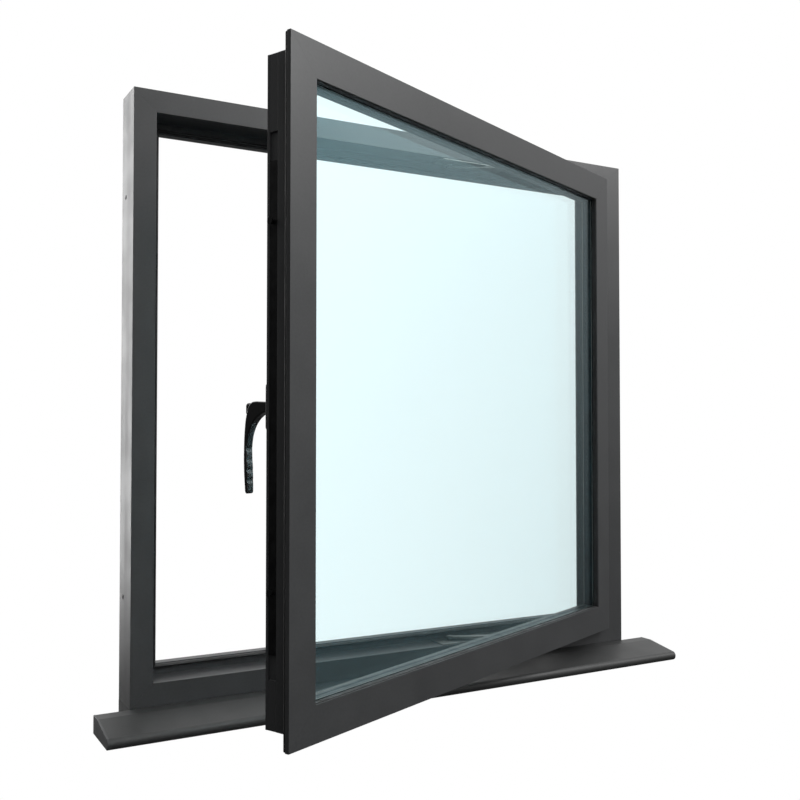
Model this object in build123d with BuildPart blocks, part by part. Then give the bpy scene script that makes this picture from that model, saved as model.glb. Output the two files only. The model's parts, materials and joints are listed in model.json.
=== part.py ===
from build123d import *
import os

# Outward opening side-hung casement window on a horned sill, millimetres.
# X runs along the wall, +Y goes into the building, +Z is up. The origin is at mid-width,
# on the plane of the frame's outer face and on the sill's underside.
# The sash is modelled closed and written half open, at rest_angle.

# ---- overall sizes ----
frame_width = 1000.0
frame_height = 972.0
frame_depth = 72.0
sill_height = 28.0

# ---- frame profile ----
frame_face = 36.0
leg_rise = 18.0
leg_depth = 18.0
outer_shell_depth = 22.0
break_depth = 20.0
break_thickness = 2.0
wall = 1.8

# ---- sash profile ----
sash_lap = 5.0
seal_gap = 5.0
inner_seal_gap = 9.0
flange_thickness = 7.0
sash_shell_depth = 20.0
sash_break_depth = 14.0
groove_width = 14.0
groove_depth = 3.4

# ---- glazing ----
pane_thickness = 4.0
cavity = 20.0
outer_gasket = 2.5
wedge_gasket = 3.0
glass_edge_gap = 3.0
pane_arris = 0.5
bead_width = 8.6
bead_setback = 2.0
bead_recess = 1.0
gasket_lip = 1.5
gasket_bite = 5.0
wedge_lip = 1.0
wedge_bite = 6.0
spacer_width = 6.5
seal_width = 3.0
seal_setback = 0.6
block_length = 100.0

# ---- rebate gaskets ----
flange_gasket_edges = (0.8, 0.6)
leg_gasket_width = 6.0
leg_gasket_setback = 1.0

# ---- corner cleats ----
cleat_depth = 10.0
cleat_reach = 80.0

# ---- sill ----
horn = 55.0
sill_projection = 96.0
sill_flat = 26.0
nose_drop = 11.0
sill_wall = 2.5
cap_thickness = 3.0

# ---- hinge stays ----
# Pivots are measured from the hinge jamb's rebate face and from the frame's outer face.
rest_angle = 24.0
arm_from_jamb = 362.9
arm_depth = 34.0
arm_length = 192.5
arm_closed = 0.49
link_from_jamb = 297.7
link_depth = 9.1
link_length = 144.8
link_closed = -3.84
link_ratio = 1.2138
arm_width = 14.0
plate = 2.0
pin_radius = 3.0
pin_fit = 0.05
open_eye_gap = 1.7
rivet_lip = 2.6
rivet_head = 0.7
stay_washer = 0.8
plate_corner = 4.0
track_start = 2.0
track_edge = 6.0
track_ends = (34.0, 50.0)
bar_start = 8.0
bar_edge = 3.0
bar_ends = (16.0, 110.0)

# ---- fasteners ----
screw_radius = 2.0
screw_head_radius = 3.6
screw_head = 0.8
head_taper = 20.0
fixing_radius = 4.0
fixing_spread = 640.0

# ---- lock and handle ----
lock_rise = 464.0
handle_gap = 2.5
box_past_spindle = 6.4
rail_length = 640.0
rail_travel = 18.0
cam_radius = 4.5
cam_reach = 7.2
cam_head = 2.0
cam_undercut = 1.2
keep_spread = 480.0
keep_wall = 4.0
keep_length = 26.0
keep_plate = 2.0
keep_height = 78.0
keep_width = 20.0
keep_offset = 2.0
keep_clearance = 1.6
keep_screw_end = 7.0
gearbox_depth = 16.0
gearbox_height = 120.0
spindle_side = 5.0
spindle_hole = 3.8
spindle_inset = 1.0
lug_width = 5.0
lug_length = 16.0
lug_gap = 1.0
base_length = 66.0
base_width = 15.0
base_height = 12.0
base_round = 3.0
boss_radius = 5.5
boss_depth = 5.0
lever_width = 12.0
scallop_radius = 8.0
scallop_depth = 1.4
button_width = 8.4
button_length = 16.5
button_height = 16.0
button_travel = 3.0
button_drop = 3.0
button_setback = 20.0
button_round = 2.0

# Lever outline, depth into the room from its underside and height from the spindle.
grip = (
    (0, 6.6), (10, 7.0), (20, 7.3), (26.5, 6.0), (30.5, 2.2), (33.6, -4), (36.6, -13),
    (39.3, -32.5), (40.5, -57.5), (40.2, -84.5), (38.4, -109),
)
grip_inner = (
    (32.4, -112), (32.6, -98), (33.2, -80), (34.4, -63), (33.8, -48), (29.5, -32), (21, -19),
    (11, -11.5), (0, -6.5),
)
grip_tip = (35.8, -116.5)
scallops = ((34.3, -56), (33.6, -70), (32.8, -84), (32.6, -98))

# ---- clearances ----
run_gap = 0.3
seat_gap = 0.2

# ---- sizes that follow ----
frame_bottom = sill_height
leg_start = frame_depth - leg_depth
hinge_jamb = frame_width / 2 - frame_face
layer_gap = run_gap + rivet_head + run_gap
stay_gap = 4 * plate + 2 * layer_gap + stay_washer
flange_reach = sash_lap + stay_gap
backset = leg_rise + sash_lap + handle_gap + base_width / 2
box_edge = backset + box_past_spindle
sash_face = box_edge + bead_width + bead_setback
sash_width = frame_width - 2 * frame_face + 2 * sash_lap
sash_height = frame_height - 2 * frame_face + 2 * sash_lap
sash_left = -sash_width / 2
sash_bottom = frame_bottom + frame_face - sash_lap
sash_top = sash_bottom + sash_height
sash_front = -(seal_gap + flange_thickness)
sash_back = leg_start - inner_seal_gap
sash_depth = sash_back - sash_front
glass_front = flange_thickness + outer_gasket
glass_depth = 2 * pane_thickness + cavity
glass_back = glass_front + glass_depth
bead_front = glass_back + wedge_gasket
glass_inset = box_edge + glass_edge_gap
arm_pivot = (hinge_jamb - arm_from_jamb, arm_depth)
link_pivot = (hinge_jamb - link_from_jamb, link_depth)
lock_height = frame_bottom + lock_rise

SIDES = ("bottom", "right", "top", "left")


def ring_side(width, height, bottom, front, side):
    """Section plane, length and inward direction of one side of an upright rectangular ring."""
    top = bottom + height
    half = width / 2
    corner, inward, length = {
        "bottom": ((half, front, bottom), (0, 0, 1), width),
        "right": ((half, front, top), (-1, 0, 0), height),
        "top": ((-half, front, top), (0, 0, -1), width),
        "left": ((-half, front, bottom), (1, 0, 0), height),
    }[side]
    run = Vector(*inward).cross(Vector(0, 1, 0))
    return Plane(origin=corner, x_dir=inward, z_dir=run), length, Vector(*inward)


def mitred(section, side, width, height, bottom, front):
    """One side of a ring with mitred ends; section() draws it, x inwards and y into the building."""
    plane, length, inward = ring_side(width, height, bottom, front, side)
    run = plane.z_dir
    far_corner = plane.origin + run * length
    with BuildPart() as bar:
        with BuildSketch(plane):
            section()
        extrude(amount=length)
        split(bisect_by=Plane(origin=plane.origin, z_dir=run - inward), keep=Keep.TOP)
        split(bisect_by=Plane(origin=far_corner, z_dir=-run - inward), keep=Keep.TOP)
    return bar


def frame_side(section, side):
    return mitred(section, side, frame_width, frame_height, frame_bottom, 0)


def sash_side(section, side):
    return mitred(section, side, sash_width, sash_height, sash_bottom, sash_front)


def ring(section, side_maker):
    """Four mitred sides joined into one closed ring."""
    sides = [side_maker(section, side).part for side in SIDES]
    with BuildPart() as whole:
        for part in sides:
            add(part)
    return whole


def block(x0, x1, y0, y1, mode=Mode.ADD):
    """Rectangle between two pairs of edges of the section."""
    with Locations(((x0 + x1) / 2, (y0 + y1) / 2)):
        Rectangle(x1 - x0, y1 - y0, mode=mode)


def tube(x0, x1, y0, y1, thickness=wall):
    """Hollow rectangle of a box chamber."""
    block(x0, x1, y0, y1)
    block(x0 + thickness, x1 - thickness, y0 + thickness, y1 - thickness, mode=Mode.SUBTRACT)


def sash_turn(angle):
    """Where the closed sash goes when it has opened by angle degrees."""
    start = pivot_end(arm_pivot, arm_length, arm_closed)
    end = pivot_end(arm_pivot, arm_length, arm_closed + angle)
    return Location(end) * Location((0, 0, 0), (0, 0, angle)) * Location(-start)


def pivot_end(pivot, length, angle):
    """Far end of an arm that lies along +X and has swung outwards by angle degrees."""
    return Vector(*pivot, 0) + Vector(length, 0, 0).rotate(Axis.Z, -angle)


def write(piece, name, place=Location()):
    """Move a finished piece to its rest place, label it and write it."""
    solid = piece.part.moved(place)
    solid.label = name
    export_step(solid, f"parts/{name}.step")


os.makedirs("parts", exist_ok=True)
open_sash = sash_turn(rest_angle)


# ---- frame: outer shell, thermal break strips, inner shell with its leg ----
inner_shell_start = outer_shell_depth + break_depth


def frame_outer_section():
    tube(0, frame_face, 0, outer_shell_depth)


def frame_break_section():
    block(0, break_thickness, outer_shell_depth, inner_shell_start)
    block(frame_face - break_thickness, frame_face, outer_shell_depth, inner_shell_start)


def frame_inner_section():
    tube(0, frame_face, inner_shell_start, frame_depth)
    tube(frame_face - wall, frame_face + leg_rise, leg_start, frame_depth)
    block(frame_face - wall, frame_face, leg_start + wall, frame_depth - wall)


def frame_gasket_section():
    seat = leg_start - seat_gap
    tip = sash_back + run_gap
    edge = frame_face + leg_rise - leg_gasket_setback
    block(edge - leg_gasket_width, edge, tip, seat)


fixing_y = (inner_shell_start + leg_start) / 2
fixing_middle = frame_bottom + frame_height / 2


def drilled_side(side):
    """Inner shell of one frame side; the two jambs have through holes for wall fixings."""
    shell = frame_side(frame_inner_section, side)
    if side in ("bottom", "top"):
        return shell
    middle_x = (frame_face - frame_width) / 2 if side == "left" else (frame_width - frame_face) / 2
    with BuildPart() as drilled:
        add(shell.part)
        with Locations(*[
            Location((middle_x, fixing_y, fixing_middle + shift), (0, 90, 0))
            for shift in (-fixing_spread / 2, fixing_spread / 2)
        ]):
            Cylinder(fixing_radius, frame_face + 2, mode=Mode.SUBTRACT)
    return drilled


for side in SIDES:
    write(frame_side(frame_outer_section, side), f"frame_{side}_outer_shell")
    write(drilled_side(side), f"frame_{side}_inner_shell")
write(ring(frame_break_section, frame_side), "frame_thermal_break")
write(ring(frame_gasket_section, frame_side), "frame_inner_gasket")


# ---- sash ----
sash_inner_start = sash_shell_depth + sash_break_depth
groove_middle = (sash_inner_start + sash_depth) / 2


def sash_outer_section():
    block(0, sash_face, 0, flange_thickness)
    tube(flange_reach, box_edge, 0, sash_shell_depth)


def sash_break_section():
    block(flange_reach, flange_reach + break_thickness, sash_shell_depth, sash_inner_start)
    block(box_edge - break_thickness, box_edge, sash_shell_depth, sash_inner_start)


def sash_inner_section():
    block(flange_reach, box_edge, sash_inner_start, sash_depth)
    floor = flange_reach + groove_depth + wall
    block(floor, box_edge - wall, sash_inner_start + wall, sash_depth - wall, mode=Mode.SUBTRACT)
    low = groove_middle - groove_width / 2
    high = groove_middle + groove_width / 2
    block(flange_reach, flange_reach + groove_depth, low, high, mode=Mode.SUBTRACT)


def flange_gasket_section():
    edge, heel = flange_gasket_edges
    block(edge, sash_lap - heel, flange_thickness, flange_thickness + seal_gap - run_gap)


def outer_gasket_section():
    block(sash_face - gasket_bite, sash_face + gasket_lip, flange_thickness, glass_front)
    block(sash_face, sash_face + gasket_lip, gasket_lip, flange_thickness)


def wedge_gasket_section():
    block(sash_face - wedge_bite, sash_face - bead_setback + wedge_lip, glass_back, bead_front)


def bead_section():
    tube(box_edge, box_edge + bead_width, bead_front, sash_depth - bead_recess)


lock_x = sash_left + backset
room_face = sash_back
box_side = sash_left + flange_reach
rail_y = sash_front + groove_middle


def inner_side(side):
    """Inner shell of one sash side; the lock side has its spindle hole and drive slot."""
    shell = sash_side(sash_inner_section, side)
    if side != "left":
        return shell
    with BuildPart() as lock_shell:
        add(shell.part)
        with Locations(Location((lock_x, room_face, lock_height), (90, 0, 0))):
            Cylinder(spindle_hole, 4 * wall, mode=Mode.SUBTRACT)
        with Locations((box_side + groove_depth, rail_y, lock_height + rail_travel / 2)):
            Box(4 * wall, lug_width + 2 * lug_gap, lug_length + rail_travel + 2 * lug_gap,
            mode=Mode.SUBTRACT)
    return lock_shell


for side in SIDES:
    write(sash_side(sash_outer_section, side), f"sash_{side}_outer_shell", open_sash)
    write(inner_side(side), f"sash_{side}_inner_shell", open_sash)
    write(sash_side(bead_section, side), f"glazing_bead_{side}", open_sash)
write(ring(sash_break_section, sash_side), "sash_thermal_break", open_sash)
write(ring(flange_gasket_section, sash_side), "sash_flange_gasket", open_sash)
write(ring(outer_gasket_section, sash_side), "outer_glazing_gasket", open_sash)
write(ring(wedge_gasket_section, sash_side), "wedge_glazing_gasket", open_sash)


# ---- double glazed unit ----
glass_width = sash_width - 2 * glass_inset
glass_height = sash_height - 2 * glass_inset
glass_bottom = sash_bottom + glass_inset
glass_face = sash_front + glass_front
cavity_face = glass_face + pane_thickness


def glass_side(section, side):
    return mitred(section, side, glass_width, glass_height, glass_bottom, cavity_face)


def pane(front):
    """Float glass sheet whose outer face lies at front."""
    with BuildPart() as sheet:
        with BuildSketch(Plane.XZ.offset(-front - pane_thickness)):
            with Locations((0, glass_bottom + glass_height / 2)):
                Rectangle(glass_width, glass_height)
        extrude(amount=pane_thickness)
        chamfer(sheet.edges(), pane_arris)
    return sheet


def edge_seal_section():
    block(seal_setback, seal_width, 0, cavity)


def spacer_section():
    block(seal_width, seal_width + spacer_width, 0, cavity)


write(pane(glass_face), "outer_glass_pane", open_sash)
write(pane(cavity_face + cavity), "inner_glass_pane", open_sash)
write(ring(edge_seal_section, glass_side), "glass_edge_seal", open_sash)
write(ring(spacer_section, glass_side), "glass_spacer_bar", open_sash)

with BuildPart() as setting_blocks:
    with Locations(*[
        (x, glass_face + glass_depth / 2, glass_bottom - glass_edge_gap / 2)
        for x in (-glass_width / 4, glass_width / 4)
    ]):
        Box(block_length, glass_depth, glass_edge_gap)
write(setting_blocks, "setting_blocks", open_sash)


# ---- corner cleats inside the hollow shells ----
def cleats(width, height, bottom, front, thickness, inner, depth):
    """Four L shaped cleats, one in each mitred corner of a ring."""
    middle = bottom + height / 2
    outer = inner + thickness
    legs = ((inner, cleat_reach, inner, outer), (inner, outer, inner, cleat_reach))
    with BuildPart() as group:
        for x in (-1, 1):
            for z in (-1, 1):
                corner_x = x * width / 2
                corner_z = middle + z * height / 2
                with BuildSketch(Plane.XZ.offset(-front - depth)):
                    for x0, x1, z0, z1 in legs:
                        with Locations((corner_x - x * (x0 + x1) / 2, corner_z - z * (z0 + z1) / 2)):
                            Rectangle(x1 - x0, z1 - z0)
                extrude(amount=cleat_depth)
    return group


cleat_fit = wall + seat_gap
frame_cleats = cleats(frame_width, frame_height, frame_bottom, 0, frame_face - 2 * cleat_fit,
                      cleat_fit, inner_shell_start + cleat_fit + cleat_depth)
write(frame_cleats, "frame_corner_cleats")
cleat_inner = flange_reach + groove_depth + cleat_fit
sash_cleats = cleats(sash_width, sash_height, sash_bottom, sash_front, box_edge - cleat_fit - cleat_inner,
                     cleat_inner, sash_inner_start + cleat_fit + cleat_depth)
write(sash_cleats, "sash_corner_cleats", open_sash)


# ---- sill with horns, hollow, and its end caps ----
sill_length = frame_width + 2 * horn
nose_top = sill_height - nose_drop
front_face = -sill_projection
nose_start = front_face + nose_top / 2


def sill_front(inset=0.0, mode=Mode.ADD):
    """Section of the projecting front, y to the room and z up, drawn inset from its skin."""
    top = sill_height - inset
    low = inset
    with BuildLine() as outline:
        Polyline(
            (nose_start, low),
            (-inset, low),
            (-inset, top),
            (-sill_flat, top),
            (nose_start, nose_top - inset),
        )
        ThreePointArc((nose_start, nose_top - inset), (front_face + inset, nose_top / 2), (nose_start, low))
    make_face(outline.edges(), mode=mode)


with BuildPart() as sill:
    with BuildSketch(Plane.YZ.offset(-sill_length / 2 + cap_thickness)):
        sill_front()
        sill_front(sill_wall, Mode.SUBTRACT)
    extrude(amount=sill_length - 2 * cap_thickness)
    with BuildSketch(Plane.YZ.offset(-frame_width / 2)):
        tube(0, frame_depth, 0, sill_height, sill_wall)
    extrude(amount=frame_width)
write(sill, "sill")

for name, start in (("left", -sill_length / 2), ("right", sill_length / 2 - cap_thickness)):
    with BuildPart() as end_cap:
        with BuildSketch(Plane.YZ.offset(start)):
            sill_front()
        extrude(amount=cap_thickness)
    write(end_cap, f"sill_end_cap_{name}")


# ---- hinge stays, one in the head rebate and one in the bottom rebate ----
# Heights count from the sash box towards the frame: sash bar, arm, link, then the track.
# Each pivot's flat head passes under the next layer with the running gap.
arm_low = plate + layer_gap
arm_high = arm_low + plate
link_low = arm_high + layer_gap
link_high = link_low + plate
track_low = stay_gap - plate
box_top = sash_top - flange_reach
box_low = sash_bottom + flange_reach

sash_arm_spot = pivot_end(arm_pivot, arm_length, arm_closed)
link_rest = pivot_end(link_pivot, link_length, link_closed + link_ratio * rest_angle)
link_spot = (open_sash.inverse() * Location(link_rest)).position
arm_swing = Location((*arm_pivot, 0), (0, 0, -rest_angle)) * Location((-arm_pivot[0], -arm_pivot[1], 0))
link_swing = Location((*link_pivot, 0), (0, 0, -link_ratio * rest_angle)) * Location(
    (-link_pivot[0], -link_pivot[1], 0)
)
track_screws = [
    (arm_pivot[0] - 22, 25.0),
    (arm_pivot[0] + 45, leg_start - 14),
    (link_pivot[0] + 34, leg_start - 16),
]
bar_screws = [(link_spot.X + along, 20.0) for along in (40, 90)]


def slab(outline, at_top, low, high):
    """Level piece between two stack heights, upwards at the head and downwards at the bottom."""
    start = box_top + low if at_top else box_low - high
    with BuildPart() as piece:
        with BuildSketch(Plane.XY.offset(start)):
            outline()
        extrude(amount=high - low)
    return piece


def arm_outline(pivot, length, closed, far_eye):
    """Round ended bar with an eye at each end, lying in its closed direction."""
    with Locations(Location((*pivot, 0), (0, 0, -closed))):
        with Locations((length / 2, 0)):
            SlotCenterToCenter(length, arm_width)
        Circle(pin_radius, mode=Mode.SUBTRACT)
        with Locations((length, 0)):
            Circle(far_eye, mode=Mode.SUBTRACT)


def arm_plan():
    arm_outline(arm_pivot, arm_length, arm_closed, pin_radius)


def link_plan():
    arm_outline(link_pivot, link_length, link_closed, pin_radius + open_eye_gap)


def plate_between(x0, x1, y0, y1):
    """Rounded plate between two pairs of edges."""
    with Locations(((x0 + x1) / 2, (y0 + y1) / 2)):
        RectangleRounded(x1 - x0, y1 - y0, plate_corner)


def track_plan():
    plate_between(arm_pivot[0] - track_ends[0], link_pivot[0] + track_ends[1],
                  track_start, leg_start - track_edge)
    with Locations(*track_screws):
        Circle(screw_radius, mode=Mode.SUBTRACT)


def bar_plan():
    plate_between(sash_arm_spot.X - bar_ends[0], link_spot.X + bar_ends[1],
                  bar_start, sash_back - bar_edge)
    with Locations(*bar_screws):
        Circle(screw_radius, mode=Mode.SUBTRACT)


shank = pin_radius - pin_fit
lip = pin_radius + rivet_lip


def rivet(spot, foot, low, high, head_up, at_top):
    """Riveted pivot through an eye between low and high, standing on a plate at height foot."""
    if head_up:
        steps = (
            (lip, foot, low - run_gap),
            (shank, low - run_gap, high + run_gap),
            (lip, high + run_gap, high + run_gap + rivet_head),
        )
    else:
        steps = (
            (lip, high + run_gap, foot),
            (shank, low - run_gap, high + run_gap),
            (lip, low - run_gap - rivet_head, low - run_gap),
        )
    with BuildPart() as piece:
        for radius, start, end in steps:
            with BuildSketch(Plane.XY.offset(box_top + start if at_top else box_low - end)):
                with Locations(spot):
                    Circle(radius)
            extrude(amount=end - start)
    return piece


for at_top, name in ((True, "upper"), (False, "lower")):
    write(slab(track_plan, at_top, track_low, stay_gap), f"{name}_stay_track")
    write(slab(arm_plan, at_top, arm_low, arm_high), f"{name}_stay_arm", arm_swing)
    write(slab(link_plan, at_top, link_low, link_high), f"{name}_stay_link", link_swing)
    write(slab(bar_plan, at_top, 0, plate), f"{name}_stay_sash_bar", open_sash)
    with BuildPart() as track_rivets:
        add(rivet(arm_pivot, track_low, arm_low, arm_high, False, at_top).part)
        add(rivet(link_pivot, track_low, link_low, link_high, False, at_top).part)
    write(track_rivets, f"{name}_stay_track_rivets")
    with BuildPart() as bar_rivets:
        add(rivet((sash_arm_spot.X, sash_arm_spot.Y), plate, arm_low, arm_high, True, at_top).part)
        add(rivet((link_spot.X, link_spot.Y), plate, link_low, link_high, True, at_top).part)
    write(bar_rivets, f"{name}_stay_bar_rivets", open_sash)


# ---- lock: drive rail with its cams, gearbox and keeps ----
rail_thickness = groove_depth - 2 * seat_gap
rail_x = box_side + seat_gap
rail_width = groove_width - 2 * run_gap
cam_heights = [lock_height - keep_spread / 2, lock_height + keep_spread / 2]
gearbox_x0 = box_side + groove_depth + wall + run_gap
gearbox_x1 = sash_left + box_edge - wall - run_gap
gearbox_size = (gearbox_x1 - gearbox_x0, gearbox_depth, gearbox_height)
gearbox_y = room_face - wall - seat_gap - gearbox_size[1] / 2

with BuildPart() as drive_rail:
    with Locations((rail_x + rail_thickness / 2, rail_y, lock_height)):
        Box(rail_thickness, rail_width, rail_length)
    with Locations((rail_x + rail_thickness, rail_y, lock_height)):
        Box(wall + groove_depth - rail_thickness, lug_width, lug_length,
            align=(Align.MIN, Align.CENTER, Align.CENTER))
write(drive_rail, "lock_drive_rail", open_sash)

with BuildPart() as cams:
    for height in cam_heights:
        with BuildSketch(Plane.YZ.offset(rail_x - cam_reach)):
            with Locations((rail_y, height)):
                Circle(cam_radius)
        extrude(amount=cam_head)
        with BuildSketch(Plane.YZ.offset(rail_x - cam_reach + cam_head)):
            with Locations((rail_y, height)):
                Circle(cam_radius - cam_undercut)
        extrude(amount=cam_reach - cam_head)
write(cams, "lock_cams", open_sash)

with BuildPart() as gearbox:
    with Locations(((gearbox_x0 + gearbox_x1) / 2, gearbox_y, lock_height)):
        Box(*gearbox_size)
    with Locations(Location((lock_x, gearbox_y, lock_height), (90, 0, 0))):
        Cylinder(spindle_hole - seat_gap, gearbox_size[1] + 2, mode=Mode.SUBTRACT)
write(gearbox, "lock_gearbox", open_sash)

keep_face = -frame_width / 2 + frame_face
keep_y = rail_y - keep_offset
keep_rise = stay_gap - keep_clearance
wall_back = rail_y - cam_radius - run_gap
screw_shifts = (keep_screw_end - keep_height / 2, keep_height / 2 - keep_screw_end)
for name, height in zip(("lower", "upper"), cam_heights):
    with BuildPart() as keep:
        with Locations((keep_face, keep_y, height + rail_travel / 2)):
            Box(keep_plate, keep_width, keep_height, align=(Align.MIN, Align.CENTER, Align.CENTER))
        with Locations((keep_face + keep_plate, wall_back, height)):
            Box(keep_rise - keep_plate, keep_wall, keep_length,
                align=(Align.MIN, Align.MAX, Align.CENTER))
        with Locations(*[
            Location((keep_face, keep_y, height + rail_travel / 2 + shift), (0, 90, 0))
            for shift in screw_shifts
        ]):
            Cylinder(screw_radius, 3 * keep_plate, mode=Mode.SUBTRACT)
    write(keep, f"{name}_keep")


# ---- handle on the room side of the lock stile ----
handle_face = room_face + base_height
button_seat = handle_face + button_setback


def button_outline(gap):
    """Upright round ended outline of the push button, widened all round by gap."""
    with Locations((lock_x, lock_height - button_drop)):
        SlotOverall(button_length + 2 * gap, button_width + 2 * gap, rotation=90)


with BuildPart() as handle_base:
    with BuildSketch(Plane.XZ.offset(-handle_face)):
        with Locations((lock_x, lock_height)):
            RectangleRounded(base_width, base_length, base_width / 2 - 0.5)
            Circle(spindle_hole, mode=Mode.SUBTRACT)
    extrude(amount=base_height)
    fillet(handle_base.faces().sort_by(Axis.Y)[-1].outer_wire().edges(), base_round)
    with BuildSketch(Plane.XZ.offset(-handle_face)):
        with Locations((lock_x, lock_height)):
            Circle(boss_radius + run_gap)
    extrude(amount=boss_depth + run_gap, mode=Mode.SUBTRACT)
write(handle_base, "handle_base", open_sash)

with BuildPart() as lever:
    with BuildSketch(Plane.YZ.offset(lock_x)) as lever_plan:
        with BuildLine():
            outer_curve = Spline(*[(handle_face + run_gap + y, lock_height + z) for y, z in grip])
            inner_curve = Spline(*[(handle_face + run_gap + y, lock_height + z) for y, z in grip_inner])
            tip = ThreePointArc(
                outer_curve @ 1,
                (handle_face + grip_tip[0], lock_height + grip_tip[1]),
                inner_curve @ 0,
            )
            Line(inner_curve @ 1, outer_curve @ 0)
        make_face()
        with Locations(*[
            (handle_face + y - scallop_radius + scallop_depth, lock_height + z)
            for y, z in scallops
        ]):
            Circle(scallop_radius, mode=Mode.SUBTRACT)
    extrude(amount=lever_width / 2, both=True)
    with BuildSketch(Plane.XZ.offset(-handle_face - run_gap)):
        with Locations((lock_x, lock_height)):
            Circle(boss_radius)
    extrude(amount=boss_depth)
    with BuildSketch(Plane.XZ.offset(-button_seat)):
        button_outline(run_gap)
    extrude(amount=-button_height * 2, mode=Mode.SUBTRACT)
write(lever, "handle_lever", open_sash)

with BuildPart() as push_button:
    with BuildSketch(Plane.XZ.offset(-button_seat - button_travel - run_gap)):
        button_outline(0)
    extrude(amount=-button_height)
    fillet(push_button.faces().sort_by(Axis.Y)[-1].edges(), button_round)
write(push_button, "push_button", open_sash)

spindle_start = handle_face + run_gap - boss_depth
spindle_length = spindle_start - (gearbox_y - gearbox_size[1] / 2 + spindle_inset)
with BuildPart() as spindle:
    with BuildSketch(Plane.XZ.offset(-spindle_start)):
        with Locations((lock_x, lock_height)):
            Rectangle(spindle_side, spindle_side)
    extrude(amount=spindle_length)
write(spindle, "handle_spindle", open_sash)


# ---- screws, modelled down to the face that they bite into ----
def screw(spot, seat_face, direction, grip_length):
    """Pan head screw whose head rests on seat_face, its shank running back along the direction."""
    with BuildPart() as piece:
        with BuildSketch(Plane(origin=spot, z_dir=direction).offset(seat_face)):
            Circle(screw_head_radius)
        extrude(amount=screw_head, taper=head_taper)
        with BuildSketch(Plane(origin=spot, z_dir=direction).offset(seat_face)):
            Circle(screw_radius - pin_fit)
        extrude(amount=-grip_length)
    return piece


with BuildPart() as frame_screws:
    for x, y in track_screws:
        add(screw((x, y, box_top + track_low), 0, (0, 0, -1), plate).part)
        add(screw((x, y, box_low - track_low), 0, (0, 0, 1), plate).part)
    for height in cam_heights:
        for shift in screw_shifts:
            spot = (keep_face + keep_plate, keep_y, height + rail_travel / 2 + shift)
            add(screw(spot, 0, (1, 0, 0), keep_plate).part)
write(frame_screws, "frame_hardware_screws")

with BuildPart() as sash_screws:
    for x, y in bar_screws:
        add(screw((x, y, box_top + plate), 0, (0, 0, 1), plate).part)
        add(screw((x, y, box_low - plate), 0, (0, 0, -1), plate).part)
write(sash_screws, "sash_bar_screws", open_sash)
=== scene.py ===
"""Looks of an outward opening casement window on its horned sill.

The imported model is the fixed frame. Sizes are millimetres in the frame's own axes and turn to
metres when a piece is finished. The sash is shaped closed, then set at its resting angle.
"""

from __future__ import annotations

import json
import logging
import math
from collections.abc import Callable, Iterable, Sequence
from dataclasses import dataclass
from enum import Enum

import bmesh
import bpy
from mathutils import Matrix, Vector


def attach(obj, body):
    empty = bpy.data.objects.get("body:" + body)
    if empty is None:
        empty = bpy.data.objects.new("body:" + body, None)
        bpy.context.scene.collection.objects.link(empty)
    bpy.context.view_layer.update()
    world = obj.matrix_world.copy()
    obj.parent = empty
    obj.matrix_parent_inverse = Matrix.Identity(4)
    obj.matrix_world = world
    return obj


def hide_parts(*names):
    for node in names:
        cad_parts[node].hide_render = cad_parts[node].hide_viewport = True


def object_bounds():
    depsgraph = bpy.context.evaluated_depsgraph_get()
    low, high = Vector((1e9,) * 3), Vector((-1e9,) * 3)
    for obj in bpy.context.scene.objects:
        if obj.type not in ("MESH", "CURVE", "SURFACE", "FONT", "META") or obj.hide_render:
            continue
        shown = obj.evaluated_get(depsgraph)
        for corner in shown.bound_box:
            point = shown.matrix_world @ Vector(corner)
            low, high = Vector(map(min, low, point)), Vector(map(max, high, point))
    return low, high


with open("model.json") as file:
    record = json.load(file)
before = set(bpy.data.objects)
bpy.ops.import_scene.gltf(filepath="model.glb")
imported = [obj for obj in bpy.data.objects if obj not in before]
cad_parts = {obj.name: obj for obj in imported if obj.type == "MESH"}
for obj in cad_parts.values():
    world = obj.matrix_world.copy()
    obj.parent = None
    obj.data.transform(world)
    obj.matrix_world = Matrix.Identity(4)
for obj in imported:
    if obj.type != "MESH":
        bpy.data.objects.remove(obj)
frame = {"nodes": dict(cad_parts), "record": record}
CAD_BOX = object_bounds()

LOG = logging.getLogger("casement")
MM = 0.001
# Corners this close are one, edges this close to a face lie in it, and shorter edges have no
# direction, in millimetres.
WELD = 1e-4
NEAR = 1e-3
TINY = 1e-6
# How near to one line two directions are, as the cosine between them.
STRAIGHT = 0.999
# How far a cutter reaches past what it cuts, in millimetres.
OVERCUT = 4.0
SOFT_ANGLE = math.radians(25)
RUBBER_CREASE = 50.0
# Nearly all of a noise lies between these.
NOISE_LOW, NOISE_HIGH = 0.35, 0.65
BODY_OF = {
    node: body
    for body, nodes in frame["record"]["behaviour"]["bodies"].items()
    for node in nodes
}
SLOT_OF = {row["node"]: row["material_slot"] for row in frame["record"]["subparts"]}
Point = tuple[float, float]
Edge = bmesh.types.BMEdge
Node = bpy.types.Node
Thing = bpy.types.Object
Tree = bpy.types.NodeTree


class Side(Enum):
    """The four sides of an upright ring."""

    BOTTOM = "bottom"
    RIGHT = "right"
    TOP = "top"
    LEFT = "left"


class Join(Enum):
    """How one closed form meets another."""

    UNION = "UNION"
    DIFFERENCE = "DIFFERENCE"


# ---------------------------------------------------------------- finishes


def linear(hex_colour: str) -> tuple[float, float, float, float]:
    """Turns an sRGB hex colour to linear light.

    Args:
        hex_colour: six digits after a hash sign.

    Returns:
        Red, green, blue and an alpha of one.
    """
    parts = [int(hex_colour[i : i + 2], 16) / 255 for i in (1, 3, 5)]
    turned = [p / 12.92 if p <= 0.04045 else ((p + 0.055) / 1.055) ** 2.4 for p in parts]
    return (*turned, 1.0)


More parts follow.
